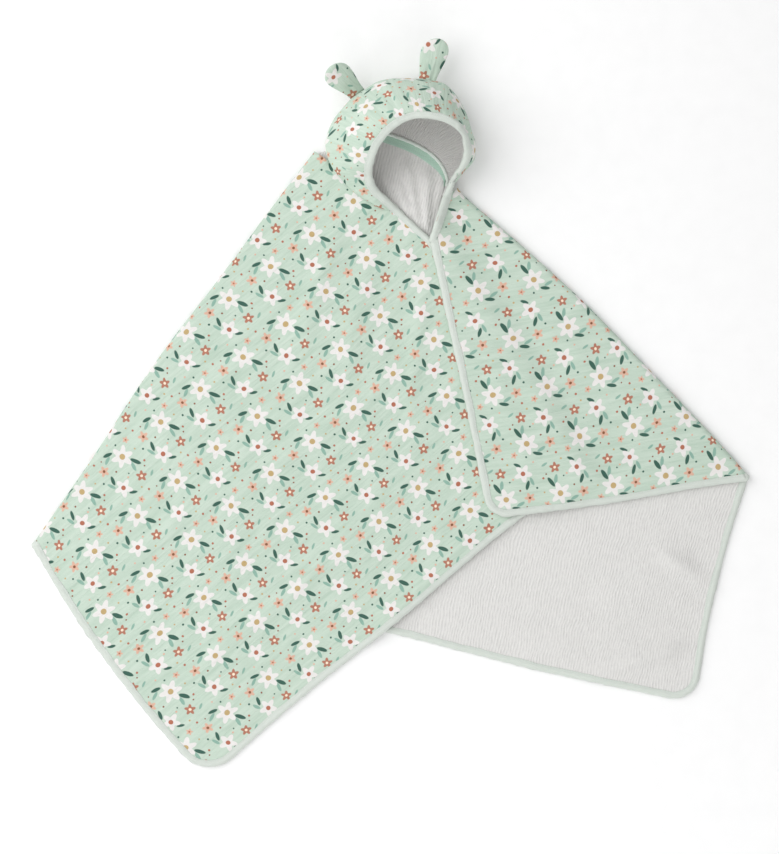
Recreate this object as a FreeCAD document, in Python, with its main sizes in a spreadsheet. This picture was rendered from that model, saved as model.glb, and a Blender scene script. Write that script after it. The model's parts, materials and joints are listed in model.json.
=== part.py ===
"""Hooded baby towel, folded round like a cape and lying on its back.

The towel is one rectangle of two cloths: a thin printed outer cloth and a thicker terry
lining. Its two ends are folded over the back at the shoulders, the left end first and the
right end over it, and a rounded hood with two ears is sewn to the neck.

Frame: +X to the right, +Y towards the top of the hood, +Z up from the surface that the
towel lies on. The origin is the bottom centre of the bounding box. Millimetres.
"""
import FreeCAD, Part
import math
import os
import Sketcher

SIZES = {
    # cloth
    "towel_width": 600,
    "outer_thickness": 1,
    "lining_thickness": 3,
    "corner_radius": 34,
    # binding tape folded round the edge
    "binding_reach": 9,
    "binding_nose": 1.5,
    "binding_skin": 0.5,
    "binding_stop": 18,
    "neck_binding_stop": 9,
    "clearance": 0.1,
    "layer_gap": 0.2,
    "hinge_gap": 0.5,
    # corners of the folded towel, seen from above
    "front_x": 49, "front_y": 205,
    "right_corner_x": 127, "right_corner_y": -146,
    "right_fold_x": 445.6, "right_fold_y": -97,
    "back_corner_x": 384, "back_corner_y": -380,
    "left_fold_x": -447, "left_fold_y": -182,
    "left_corner_x": -232, "left_corner_y": -472,
    "left_side_turn": 39.5,
    "left_neck_x": -25, "left_neck_y": 252,
    "left_shoulder_x": -89, "left_shoulder_y": 312,
    "right_shoulder_x": 83, "right_shoulder_y": 248,
    # hood
    "hood_x": -2, "hood_y": 287,
    "hood_turn": -19.7,
    "hood_depth": 128,
    "hood_half_width": 98,
    "brim_turn": 48,
    "brim_band_gap_turn": 0.5,
    "brim_band_turn": 4,
    "brim_band_thickness": 6,
    # the side of the hood, in the hood's frame
    "side_shoulder_x": -84, "side_shoulder_y": -10,
    "side_front_x": 13, "side_front_y": -36,
    "side_top_x": -9, "side_top_y": 68, "side_top_height": 92,
    # tape over the neck seam
    "seam_gap": 1,
    "tape_length": 150,
    "tape_width": 12,
    "tape_thickness": 1.2,
    # ears, placed in the hood's frame
    "left_ear_x": -77.8, "left_ear_y": 83.9, "left_ear_height": 26,
    "left_ear_turn": 64.7, "left_ear_tilt": 32,
    "right_ear_x": 4.8, "right_ear_y": 128.3, "right_ear_height": 33,
    "right_ear_turn": 7.8, "right_ear_tilt": 4,
    "ear_length": 55,
    "ear_width": 38,
    "ear_base_width": 23,
    "ear_filling": 4,
    # care label
    "label_distance": 214,
    "label_length": 30,
    "label_width": 18,
    "label_thickness": 0.3,
}

doc = FreeCAD.newDocument("HoodedTowel")
sheet = doc.addObject("Spreadsheet::Sheet", "Sizes")
nodes = []


def fill_sheet():
    """Write each driving size into the sheet, under its own name."""
    for row, (alias, value) in enumerate(SIZES.items(), start=1):
        sheet.set(f"A{row}", alias)
        sheet.set(f"B{row}", str(value))
        sheet.setAlias(f"B{row}", alias)
    doc.recompute()


def size(alias):
    return float(sheet.get(alias))


def value_of(expression):
    return float(sheet.evalExpression(expression.replace("Sizes.", "")))


def point(name):
    """The expressions of a named corner's x and y."""
    return f"Sizes.{name}_x", f"Sizes.{name}_y"


def distance_between(start, end):
    """The expression of the distance between two points."""
    (start_x, start_y), (end_x, end_y) = start, end
    return f"sqrt(({end_x} - {start_x}) ^ 2 + ({end_y} - {start_y}) ^ 2)"


def step_toward(start, end, distance):
    """The point that lies a distance from start on the way to end."""
    share = f"{distance} / {distance_between(start, end)}"
    return tuple(f"({a} + ({b} - {a}) * {share})" for a, b in zip(start, end))


SHEET_THICKNESS = "(Sizes.outer_thickness + Sizes.lining_thickness)"
LAYER_RISE = f"({SHEET_THICKNESS} + 2 * (Sizes.binding_skin + Sizes.clearance) + Sizes.layer_gap)"
STOP = "Sizes.binding_stop"
NECK_STOP = "Sizes.neck_binding_stop"

FRONT = point("front")
RIGHT_CORNER = point("right_corner")
RIGHT_FOLD = point("right_fold")
RIGHT_SHOULDER = point("right_shoulder")
BACK_CORNER = point("back_corner")
LEFT_FOLD = point("left_fold")
LEFT_CORNER = point("left_corner")
LEFT_NECK = point("left_neck")
LEFT_SHOULDER = point("left_shoulder")
HIDDEN_CORNER = (
    "(Sizes.left_corner_x + Sizes.towel_width * cos(Sizes.left_side_turn))",
    "(Sizes.left_corner_y + Sizes.towel_width * sin(Sizes.left_side_turn))",
)


def origin_plane(body, role):
    return next(feature for feature in body.Origin.OriginFeatures if feature.Role == role)


def new_body(label, x="0", y="0", height="0", turn="0"):
    """A body standing at x, y and height, turned about +Z."""
    body = doc.addObject("PartDesign::Body", label)
    body.Label = label
    for axis, expression in zip("xyz", (x, y, height)):
        body.setExpression(f"Placement.Base.{axis}", expression)
    body.Placement.Rotation = FreeCAD.Rotation(FreeCAD.Vector(0, 0, 1), 1)
    body.setExpression("Placement.Rotation.Angle", turn)
    return body


def new_sketch(body, name, plane="XY_Plane"):
    sketch = body.newObject("Sketcher::SketchObject", name)
    sketch.AttachmentSupport = (origin_plane(body, plane), "")
    sketch.MapMode = "FlatFace"
    return sketch


def pin_point(sketch, geometry, end, place):
    """Hold one end of a line or a point at a pair of expressions."""
    for kind, expression in zip(("DistanceX", "DistanceY"), place):
        constraint = Sketcher.Constraint(kind, -1, 1, geometry, end, value_of(expression))
        index = sketch.addConstraint(constraint)
        sketch.setExpression(f"Constraints[{index}]", expression)


def place_of(point_expressions):
    return FreeCAD.Vector(*(value_of(expression) for expression in point_expressions), 0)


def closed_outline(sketch, corners):
    """A closed polygon whose corners follow their expressions."""
    places = [place_of(corner) for corner in corners]
    count = len(corners)
    lines = [
        sketch.addGeometry(Part.LineSegment(places[i], places[(i + 1) % count]))
        for i in range(count)
    ]
    for i, line in enumerate(lines):
        sketch.addConstraint(Sketcher.Constraint("Coincident", line, 2, lines[(i + 1) % count], 1))
        pin_point(sketch, line, 1, corners[i])


def add_pad(body, sketch, length, reversed_pad=False):
    pad = body.newObject("PartDesign::Pad", f"{body.Name}Pad")
    pad.Profile = sketch
    pad.setExpression("Length", length)
    pad.Reversed = reversed_pad
    sketch.Visibility = False
    return pad


def upright_edges(shape, place):
    """Names of the edges that stand straight up at a corner."""
    names = []
    for number, edge in enumerate(shape.Edges, start=1):
        ends = [vertex.Point for vertex in edge.Vertexes]
        stands_there = all(math.hypot(end.x - place.x, end.y - place.y) < 0.01 for end in ends)
        if stands_there and edge.Length > 0.01:
            names.append(f"Edge{number}")
    return names


def cloth_panel(label, corners, bottom, thickness, rounded=(), shift=("0", "0")):
    """A flat panel of cloth, with the towel's own corners rounded."""
    body = new_body(label, *shift, bottom)
    sketch = new_sketch(body, f"{label}_outline")
    closed_outline(sketch, corners)
    pad = add_pad(body, sketch, thickness)
    doc.recompute()
    if rounded:
        fillet = body.newObject("PartDesign::Fillet", f"{label}_corners")
        # the feature's own shape is in the body's frame, so corners are compared there
        edges = [name for corner in rounded for name in upright_edges(pad.Shape, place_of(corner))]
        fillet.Base = (pad, edges)
        fillet.setExpression("Radius", "Sizes.corner_radius")
        body.Tip = fillet
    return body


def open_path(sketch, places):
    """A path of straight runs, each inner corner rounded by a tangent arc."""
    corners = [place_of(place) for place in places]
    radius = size("corner_radius")
    lines = []
    starts = [corners[0]]
    arcs = []
    for before, corner, after in zip(corners, corners[1:], corners[2:]):
        toward_before = (before - corner).normalize()
        toward_after = (after - corner).normalize()
        half_angle = toward_before.getAngle(toward_after) / 2
        trim = radius / math.tan(half_angle)
        first = corner + toward_before * trim
        last = corner + toward_after * trim
        middle_way = (toward_before + toward_after).normalize()
        middle = corner + middle_way * (radius / math.sin(half_angle) - radius)
        arcs.append((first, middle, last))
    for arc in arcs:
        lines.append(sketch.addGeometry(Part.LineSegment(starts[-1], arc[0])))
        starts.append(arc[2])
    lines.append(sketch.addGeometry(Part.LineSegment(starts[-1], corners[-1])))
    pin_point(sketch, lines[0], 1, places[0])
    pin_point(sketch, lines[-1], 2, places[-1])
    for number, arc in enumerate(arcs):
        curve = sketch.addGeometry(Part.Arc(*arc))
        runs_with_arc = sketch.Geometry[curve].StartPoint.distanceToPoint(arc[0]) < 0.01
        start, end = (1, 2) if runs_with_arc else (2, 1)
        sketch.addConstraint(Sketcher.Constraint("Tangent", lines[number], 2, curve, start))
        sketch.addConstraint(Sketcher.Constraint("Tangent", curve, end, lines[number + 1], 1))
        rounding = sketch.addConstraint(Sketcher.Constraint("Radius", curve, radius))
        sketch.setExpression(f"Constraints[{rounding}]", "Sizes.corner_radius")
        corner = sketch.addGeometry(Part.Point(corners[number + 1]), True)
        pin_point(sketch, corner, 1, places[number + 1])
        for line in lines[number:number + 2]:
            sketch.addConstraint(Sketcher.Constraint("PointOnObject", corner, 1, line))


def binding(label, places, bottom, inward, covers_bottom=True, shift=("0", "0")):
    """Binding tape folded round an edge: a nose outside it and a leg on each face.

    inward is +1 where the cloth lies to the left of the path and -1 where it lies to the
    right. The binding of the back has no leg below, so that the towel lies flat.
    """
    body = new_body(label, *shift, bottom)
    path = new_sketch(body, f"{label}_path")
    open_path(path, places)
    profile = new_sketch(body, f"{label}_section", "XZ_Plane")
    start, following = (place_of(place) for place in places[:2])
    run = following - start
    turn = math.degrees(math.atan2(run.y, run.x)) + 90
    # on this plane the sketch's own axes are +X, +Z and -Y
    profile.AttachmentOffset = FreeCAD.Placement(
        FreeCAD.Vector(start.x, 0, -start.y),
        FreeCAD.Rotation(FreeCAD.Vector(0, 1, 0), turn),
    )
    nose = "Sizes.binding_nose"
    reach = "Sizes.binding_reach"
    space = "Sizes.clearance"
    skin = "Sizes.binding_skin"
    outward = f"{-inward}"
    top = f"({SHEET_THICKNESS} + {space})"
    section = [
        (f"{outward} * -{reach}", f"{top} + {skin}"),
        (f"{outward} * {nose}", f"{top} + {skin}"),
    ]
    if covers_bottom:
        section += [
            (f"{outward} * {nose}", f"-{space} - {skin}"),
            (f"{outward} * -{reach}", f"-{space} - {skin}"),
            (f"{outward} * -{reach}", f"-{space}"),
            (f"{outward} * {space}", f"-{space}"),
        ]
    else:
        section += [(f"{outward} * {nose}", "0"), (f"{outward} * {space}", "0")]
    section += [(f"{outward} * {space}", top), (f"{outward} * -{reach}", top)]
    closed_outline(profile, section)
    pipe = body.newObject("PartDesign::AdditivePipe", f"{label}_pipe")
    pipe.Profile = profile
    pipe.Spine = path
    path.Visibility = False
    profile.Visibility = False
    return body


def fold_roll(label, start, end, height, radius, thickness):
    """The half round of cloth along a shoulder fold, from start to end.

    The cloth bulges to the right of the way from end to start.
    """
    (start_x, start_y), (end_x, end_y) = start, end
    run_x = f"({end_x} - {start_x})"
    run_y = f"({end_y} - {start_y})"
    body = new_body(label, start_x, start_y, height, f"atan2({run_y}; {run_x}) - 90 deg")
    sketch = new_sketch(body, f"{label}_section", "XZ_Plane")
    centre = FreeCAD.Vector(0, 0, 0)
    up = FreeCAD.Vector(0, 0, 1)
    quarter = math.pi / 2
    curves = []
    for expression in (radius, f"{radius} - {thickness}"):
        circle = Part.Circle(centre, up, value_of(expression))
        curve = sketch.addGeometry(Part.ArcOfCircle(circle, -quarter, quarter))
        sketch.addConstraint(Sketcher.Constraint("Coincident", curve, 3, -1, 1))
        rounding = sketch.addConstraint(Sketcher.Constraint("Radius", curve, value_of(expression)))
        sketch.setExpression(f"Constraints[{rounding}]", expression)
        curves.append(curve)
    outer, inner = curves
    for curve_end in (1, 2):
        first = sketch.Geometry[outer].StartPoint if curve_end == 1 else sketch.Geometry[outer].EndPoint
        last = sketch.Geometry[inner].StartPoint if curve_end == 1 else sketch.Geometry[inner].EndPoint
        line = sketch.addGeometry(Part.LineSegment(first, last))
        sketch.addConstraint(Sketcher.Constraint("Coincident", line, 1, outer, curve_end))
        sketch.addConstraint(Sketcher.Constraint("Coincident", line, 2, inner, curve_end))
        sketch.addConstraint(Sketcher.Constraint("PointOnObject", line, 1, -2))
        sketch.addConstraint(Sketcher.Constraint("PointOnObject", line, 2, -2))
    add_pad(body, sketch, distance_between(start, end), reversed_pad=True)
    return body


def join(label, pieces):
    fusion = doc.addObject("Part::MultiFuse", label)
    fusion.Label = label
    fusion.Shapes = pieces
    fusion.Refine = False
    return fusion


def keep(*pieces):
    nodes.extend(pieces)


def layer_bottom(layer):
    return f"({layer} * {LAYER_RISE})"


def make_back():
    """The part of the towel that lies on the surface, under the folded ends."""
    corners = [LEFT_FOLD, BACK_CORNER, RIGHT_FOLD, RIGHT_SHOULDER, LEFT_SHOULDER]
    outer = cloth_panel("outer_back", corners, "0", "Sizes.outer_thickness", [BACK_CORNER])
    lining = cloth_panel(
        "lining_back", corners, "Sizes.outer_thickness", "Sizes.lining_thickness", [BACK_CORNER])
    edge = [
        step_toward(LEFT_FOLD, BACK_CORNER, STOP),
        BACK_CORNER,
        step_toward(RIGHT_FOLD, BACK_CORNER, STOP),
    ]
    keep(outer, lining, binding("binding_back", edge, "0", 1, covers_bottom=False))


def make_shoulder(side, corners, fold, layer):
    """The fixed strip between a shoulder fold and the line where the end turns back."""
    bottom = layer_bottom(layer)
    roll_radius = f"(({bottom} + {SHEET_THICKNESS}) / 2)"
    for cloth, lift, roll, thickness in (
        ("lining", "0", f"({roll_radius} - Sizes.outer_thickness)", "Sizes.lining_thickness"),
        ("outer", "Sizes.lining_thickness", roll_radius, "Sizes.outer_thickness"),
    ):
        name = f"{cloth}_{side}_shoulder"
        flat = cloth_panel(f"{name}_flat", corners, f"{bottom} + {lift}", thickness)
        rolled = fold_roll(f"{name}_roll", *fold, roll_radius, roll, thickness)
        keep(join(name, [flat, rolled]))


def make_flap(side, corners, rounded, edge, inward, layer, shift):
    """An end of the towel that opens: outer cloth, lining and the binding on its edge."""
    bottom = layer_bottom(layer)
    lining = cloth_panel(
        f"lining_{side}_flap", corners, bottom, "Sizes.lining_thickness", rounded, shift)
    outer = cloth_panel(
        f"outer_{side}_flap", corners, f"{bottom} + Sizes.lining_thickness",
        "Sizes.outer_thickness", rounded, shift)
    keep(outer, lining, binding(f"binding_{side}_flap", edge, bottom, inward, shift=shift))


def gap_shift(start, end, side):
    """The small step that keeps a flap clear of the strip it turns on."""
    (start_x, start_y), (end_x, end_y) = start, end
    length = distance_between(start, end)
    return (
        f"{side} * Sizes.hinge_gap * ({end_y} - {start_y}) / {length}",
        f"{-side} * Sizes.hinge_gap * ({end_x} - {start_x}) / {length}",
    )


def make_towel():
    make_back()
    make_shoulder("left", [FRONT, LEFT_NECK, LEFT_SHOULDER, LEFT_FOLD], (LEFT_SHOULDER, LEFT_FOLD), 1)
    make_shoulder("right", [FRONT, RIGHT_FOLD, RIGHT_SHOULDER], (RIGHT_FOLD, RIGHT_SHOULDER), 2)
    left_edge = [
        step_toward(LEFT_FOLD, LEFT_CORNER, STOP),
        LEFT_CORNER,
        HIDDEN_CORNER,
        step_toward(FRONT, HIDDEN_CORNER, STOP),
    ]
    make_flap(
        "left", [FRONT, LEFT_FOLD, LEFT_CORNER, HIDDEN_CORNER], [LEFT_CORNER, HIDDEN_CORNER],
        left_edge, 1, 1, gap_shift(FRONT, LEFT_FOLD, -1))
    right_edge = [
        step_toward(FRONT, RIGHT_CORNER, STOP),
        RIGHT_CORNER,
        step_toward(RIGHT_FOLD, RIGHT_CORNER, STOP),
    ]
    make_flap(
        "right", [FRONT, RIGHT_CORNER, RIGHT_FOLD], [RIGHT_CORNER],
        right_edge, 1, 2, gap_shift(FRONT, RIGHT_FOLD, 1))
    left_neck = [step_toward(FRONT, LEFT_NECK, NECK_STOP), LEFT_NECK]
    right_neck = [
        step_toward(FRONT, RIGHT_SHOULDER, NECK_STOP),
        step_toward(RIGHT_SHOULDER, FRONT, NECK_STOP),
    ]
    keep(binding("binding_left_neck", left_neck, layer_bottom(1), 1))
    keep(binding("binding_right_neck", right_neck, layer_bottom(2), -1))


def hood_place(x=0, y=0, z=0):
    """A place in the hood's frame: x along the neck, y towards the crown."""
    frame = FreeCAD.Placement(
        FreeCAD.Vector(size("hood_x"), size("hood_y"), 0),
        FreeCAD.Rotation(FreeCAD.Vector(0, 0, 1), size("hood_turn")),
    )
    return frame.multiply(FreeCAD.Placement(FreeCAD.Vector(x, y, z), FreeCAD.Rotation()))


def dome_wedge(label, inset, lift, turn="Sizes.brim_turn", start_turn=0.0):
    """A slice of an ellipsoid, between the ground and a plane through the neck line."""
    wedge = doc.addObject("Part::Ellipsoid", label)
    wedge.setExpression("Radius1", f"Sizes.hood_half_width - {inset}")
    wedge.setExpression("Radius2", f"Sizes.hood_depth - {inset}")
    wedge.setExpression("Radius3", f"Sizes.hood_depth - {inset}")
    wedge.setExpression("Angle3", turn)
    # the slice's own axis lies along the neck, and its first face lies on the ground
    stand = FreeCAD.Rotation(
        FreeCAD.Vector(0, 1, 0), FreeCAD.Vector(0, 0, 1), FreeCAD.Vector(1, 0, 0), "ZXY")
    spin = FreeCAD.Rotation(FreeCAD.Vector(1, 0, 0), start_turn)
    local = FreeCAD.Placement(FreeCAD.Vector(0, 0, 0), spin.multiply(stand))
    wedge.Placement = hood_place(0, size("hinge_gap"), value_of(lift)).multiply(local)
    return wedge


def cut(label, base, tool):
    result = doc.addObject("Part::Cut", label)
    result.Label = label
    result.Base = base
    result.Tool = tool
    return result


def make_hood_shell():
    """The domed part of the hood: two cloths, and the binding along its brim."""
    outer = "Sizes.outer_thickness"
    space = "Sizes.clearance"
    lining_lift = f"{outer} + {space}"
    outer_shell = cut(
        "hood_outer",
        dome_wedge("hood_outer_form", "0", "0"),
        dome_wedge("hood_outer_hollow", outer, outer),
    )
    lining_shell = cut(
        "hood_lining",
        dome_wedge("hood_lining_form", f"({lining_lift})", lining_lift),
        dome_wedge("hood_lining_hollow", SHEET_THICKNESS, SHEET_THICKNESS),
    )
    band_start = size("brim_turn") + size("brim_band_gap_turn")
    band_turn = "Sizes.brim_band_turn"
    inset = "Sizes.brim_band_thickness"
    band = cut(
        "hood_brim_binding",
        dome_wedge("brim_band_form", f"(-{space})", lining_lift, band_turn, band_start),
        dome_wedge("brim_band_hollow", inset, lining_lift, band_turn, band_start),
    )
    keep(outer_shell, lining_shell, band)


def make_hood_side():
    """The side of the hood that stays with the neck: a slanting triangle of two cloths."""
    base = value_of(f"{LAYER_RISE} + {SHEET_THICKNESS} + Sizes.clearance + Sizes.binding_skin")
    base += size("layer_gap")
    shoulder_end = FreeCAD.Vector(size("side_shoulder_x"), size("side_shoulder_y"), base)
    front_end = FreeCAD.Vector(size("side_front_x"), size("side_front_y"), base)
    top = FreeCAD.Vector(size("side_top_x"), size("side_top_y"), size("side_top_height"))
    normal = (front_end - shoulder_end).cross(top - shoulder_end).normalize()
    outward = normal if normal.z > 0 else normal * -1
    bottom = 0.0
    for cloth in ("lining", "outer"):
        thickness = size(f"{cloth}_thickness")
        corners = [place + outward * bottom for place in (shoulder_end, front_end, top)]
        face = Part.Face(Part.makePolygon(corners + corners[:1]))
        side = doc.addObject("Part::Feature", f"hood_side_{cloth}")
        side.Label = f"hood_side_{cloth}"
        side.Shape = face.extrude(outward * thickness)
        side.Placement = hood_place()
        bottom += thickness + size("clearance")
        keep(side)


def flat_box(label, length, width, height, placement):
    box = doc.addObject("Part::Box", label)
    box.Label = label
    box.setExpression("Length", length)
    box.setExpression("Width", width)
    box.setExpression("Height", height)
    box.Placement = placement
    keep(box)


def make_neck_tape():
    """The tape that covers the neck seam, on the lining inside the hood."""
    start = -size("tape_length") / 2
    side = -size("tape_width") - size("seam_gap")
    place = hood_place(start, side, value_of(SHEET_THICKNESS))
    flat_box(
        "neck_seam_tape", "Sizes.tape_length", "Sizes.tape_width", "Sizes.tape_thickness", place)


def make_care_label():
    """A blank label, sewn in beside the bottom binding, under the left end."""
    start = place_of(step_toward(LEFT_FOLD, BACK_CORNER, "Sizes.label_distance"))
    end = place_of(BACK_CORNER)
    turn = math.degrees(math.atan2(end.y - start.y, end.x - start.x))
    height = value_of(SHEET_THICKNESS)
    inset = size("binding_reach") + size("seam_gap")
    step_in = FreeCAD.Placement(FreeCAD.Vector(0, inset, height), FreeCAD.Rotation())
    corner = FreeCAD.Placement(start, FreeCAD.Rotation(FreeCAD.Vector(0, 0, 1), turn))
    flat_box(
        "care_label", "Sizes.label_width", "Sizes.label_length", "Sizes.label_thickness",
        corner.multiply(step_in))


def ear_layer(label, placement, bottom, thickness):
    """One layer of an ear: narrow at its base, round at its tip."""
    body = doc.addObject("PartDesign::Body", label)
    body.Label = label
    sketch = new_sketch(body, f"{label}_outline")
    half_base = size("ear_base_width") / 2
    radius = size("ear_width") / 2
    centre = FreeCAD.Vector(0, size("ear_length") - radius, 0)
    # tangent points of the lines from the base's ends to the round tip
    reach = math.hypot(half_base, centre.y)
    toward_base = math.atan2(-centre.y, half_base)
    angle = toward_base + math.acos(radius / reach)
    touch = FreeCAD.Vector(centre.x + radius * math.cos(angle), centre.y + radius * math.sin(angle), 0)
    mirrored = FreeCAD.Vector(-touch.x, touch.y, 0)
    tip = FreeCAD.Vector(0, size("ear_length"), 0)
    right, left = FreeCAD.Vector(half_base, 0, 0), FreeCAD.Vector(-half_base, 0, 0)
    base_line = sketch.addGeometry(Part.LineSegment(left, right))
    right_line = sketch.addGeometry(Part.LineSegment(right, touch))
    round_tip = sketch.addGeometry(Part.Arc(touch, tip, mirrored))
    left_line = sketch.addGeometry(Part.LineSegment(mirrored, left))
    sketch.addConstraint(Sketcher.Constraint("Coincident", base_line, 2, right_line, 1))
    sketch.addConstraint(Sketcher.Constraint("Coincident", left_line, 2, base_line, 1))
    sketch.addConstraint(Sketcher.Constraint("Tangent", right_line, 2, round_tip, 1))
    sketch.addConstraint(Sketcher.Constraint("Tangent", left_line, 1, round_tip, 2))
    pin_point(sketch, base_line, 1, ("-Sizes.ear_base_width / 2", "0"))
    pin_point(sketch, base_line, 2, ("Sizes.ear_base_width / 2", "0"))
    pin_point(sketch, round_tip, 3, ("0", "Sizes.ear_length - Sizes.ear_width / 2"))
    rounding = sketch.addConstraint(Sketcher.Constraint("Radius", round_tip, radius))
    sketch.setExpression(f"Constraints[{rounding}]", "Sizes.ear_width / 2")
    add_pad(body, sketch, thickness)
    body.Placement = placement.multiply(
        FreeCAD.Placement(FreeCAD.Vector(0, 0, value_of(bottom)), FreeCAD.Rotation()))
    keep(body)


def make_ear(side):
    """Two layers of outer cloth with soft filling between them, its tip raised by its tilt."""
    aim = FreeCAD.Rotation(FreeCAD.Vector(0, 0, 1), size(f"{side}_ear_turn"))
    raised = FreeCAD.Rotation(FreeCAD.Vector(1, 0, 0), size(f"{side}_ear_tilt"))
    place = hood_place(*(size(f"{side}_ear_{name}") for name in ("x", "y", "height")))
    placement = place.multiply(FreeCAD.Placement(FreeCAD.Vector(), aim.multiply(raised)))
    outer = "Sizes.outer_thickness"
    ear_layer(f"{side}_ear_back", placement, "0", outer)
    ear_layer(f"{side}_ear_filling", placement, outer, "Sizes.ear_filling")
    ear_layer(f"{side}_ear_front", placement, f"{outer} + Sizes.ear_filling", outer)


def check_and_write():
    """Stop if anything failed, then write each sub-part to its own file."""
    doc.recompute()
    failed = [item.Name for item in doc.Objects if {"Invalid", "Error"} & set(item.State)]
    if failed:
        raise RuntimeError(f"failed objects: {failed}")
    os.makedirs("parts", exist_ok=True)
    for node in nodes:
        shape = node.Shape
        if shape.isNull() or not shape.isValid():
            raise RuntimeError(f"{node.Label} has no valid shape")
        shape.exportStep(f"parts/{node.Label}.step")
    box = FreeCAD.BoundBox()
    for node in nodes:
        box.add(node.Shape.BoundBox)
    print(f"{len(nodes)} nodes, box {box}")


fill_sheet()
make_towel()
make_hood_shell()
make_hood_side()
make_neck_tape()
make_care_label()
make_ear("left")
make_ear("right")
check_and_write()
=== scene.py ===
"""Looks of the hooded baby towel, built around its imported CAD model.

The towel is one rectangle of cloth, folded at two shoulders. Each layer of it is a flat net of
points that a layer function lays down, so the cloth, its lining and its binding always agree.
Lengths are millimetres until a mesh is made, in the same frame as the CAD.
"""
import json
import math

import bpy
import numpy as np
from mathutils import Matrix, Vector
from mathutils.geometry import delaunay_2d_cdt


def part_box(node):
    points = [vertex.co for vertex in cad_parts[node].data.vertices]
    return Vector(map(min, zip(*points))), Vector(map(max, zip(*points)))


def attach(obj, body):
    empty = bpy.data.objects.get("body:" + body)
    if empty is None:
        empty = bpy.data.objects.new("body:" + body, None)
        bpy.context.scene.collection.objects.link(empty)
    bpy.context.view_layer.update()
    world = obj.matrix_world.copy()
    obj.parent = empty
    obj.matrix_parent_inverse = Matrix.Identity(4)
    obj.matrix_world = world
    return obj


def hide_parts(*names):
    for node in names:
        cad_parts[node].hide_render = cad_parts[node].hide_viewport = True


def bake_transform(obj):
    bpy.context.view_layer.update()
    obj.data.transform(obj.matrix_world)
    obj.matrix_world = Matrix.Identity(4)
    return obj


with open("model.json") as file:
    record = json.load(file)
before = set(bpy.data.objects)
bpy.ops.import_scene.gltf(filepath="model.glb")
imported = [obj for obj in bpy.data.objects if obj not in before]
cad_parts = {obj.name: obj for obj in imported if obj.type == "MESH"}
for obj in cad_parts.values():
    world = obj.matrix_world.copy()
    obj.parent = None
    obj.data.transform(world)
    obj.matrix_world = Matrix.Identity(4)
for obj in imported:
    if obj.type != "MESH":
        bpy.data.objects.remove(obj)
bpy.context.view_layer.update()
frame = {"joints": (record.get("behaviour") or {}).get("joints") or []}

MM = 0.001
JOINTS = {joint["name"]: joint for joint in frame["joints"]}

# cloth
OUTER = 1.0
LINING_TOP = 1.05
SHEET = 4.0
LAYER_GAP = 1.4
FLOOR_GAP = 0.25
NET = 5.0
BINDING_REACH = 7.2
EDGE_STEP = 4.0
BINDING_STEP = 3.0
ROLL_STRIP = 22.0

# Corners of the folded towel, seen from above. The outer ones are the CAD's own. Those at the
# shoulders and the neck were fitted to the photo, so they differ a little from the CAD's.
RIGHT_CORNER = np.array((127.0, -146.0))
RIGHT_FOLD = np.array((445.6, -97.0))
BACK_CORNER = np.array((384.0, -380.0))
LEFT_FOLD = np.array((-447.0, -182.0))
LEFT_CORNER = np.array((-232.0, -472.0))
LEFT_SHOULDER = np.array((-92.0, 314.0))
LEFT_NECK = np.array((0.0, 252.0))
RIGHT_SHOULDER = np.array((77.0, 265.0))
RIGHT_NECK = np.array((70.0, 268.0))
TOWEL_WIDTH = 600.0
BACK_RADIUS = 36
LEFT_RADIUS = 38
HIDDEN_RADIUS = 34
RIGHT_RADIUS = 27
FOLD_RADIUS = 3
LEFT_TURN = math.radians(39.5)
RIGHT_TURN = math.atan2(*(RIGHT_CORNER - RIGHT_FOLD)[::-1])
BACK_TURN = math.radians(77.0)


def joint_place(name):
    return np.array(JOINTS[name]["pos_m"]) / MM


def joint_axis(name):
    return np.array(JOINTS[name]["axis"])


FRONT = joint_place("right_flap_open")[:2]
HIDDEN_CORNER = LEFT_CORNER + TOWEL_WIDTH * np.array((math.cos(LEFT_TURN), math.sin(LEFT_TURN)))
HOOD = joint_place("hood_fold") * (1, 1, 0)
HOOD_X = joint_axis("hood_fold")
HOOD_Y = np.cross((0, 0, 1), HOOD_X)


# ---------------------------------------------------------------- small tools

def unit(vectors):
    return vectors / np.linalg.norm(vectors, axis=-1, keepdims=True)


def ease(value, low, high):
    """0 below low, 1 above high, and smooth between them."""
    share = np.clip((value - low) / (high - low), 0, 1)
    return share * share * (3 - 2 * share)


def ripple(x, y, wavelength, seed, heading=0.0, spread=math.pi):
    """Uneven soft waves, mostly between -1 and 1, whose crests face about heading."""
    random = np.random.default_rng(seed)
    total = np.zeros_like(x)
    for _ in range(9):
        turn = heading + random.uniform(-spread, spread)
        number = 2 * math.pi / (wavelength * random.uniform(0.7, 1.5))
        phase = random.uniform(0, 2 * math.pi)
        total += np.sin((x * math.cos(turn) + y * math.sin(turn)) * number + phase)
    return total / 3


def along_and_across(xy, start, end):
    """Each point's share of the way from start to end, and its distance to the left of it."""
    run = np.subtract(end, start)
    length = np.linalg.norm(run)
    rel = xy - start
    return rel @ run / length ** 2, (rel[:, 1] * run[0] - rel[:, 0] * run[1]) / length


def crease(xy, start, end, height, width):
    """A soft ridge that runs from start to end and fades at both."""
    along, across = along_and_across(xy, start, end)
    fade = ease(along, -0.05, 0.25) * ease(-along, -1.05, -0.75)
    return height * fade * np.exp(-(across / width) ** 2)


def outside(xy, corners):
    """How far each point lies outside a convex outline that runs anticlockwise."""
    far = np.full(len(xy), -1e9)
    for start, end in zip(corners, np.roll(corners, -1, axis=0)):
        far = np.maximum(far, -along_and_across(xy, start, end)[1])
    return far


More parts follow.
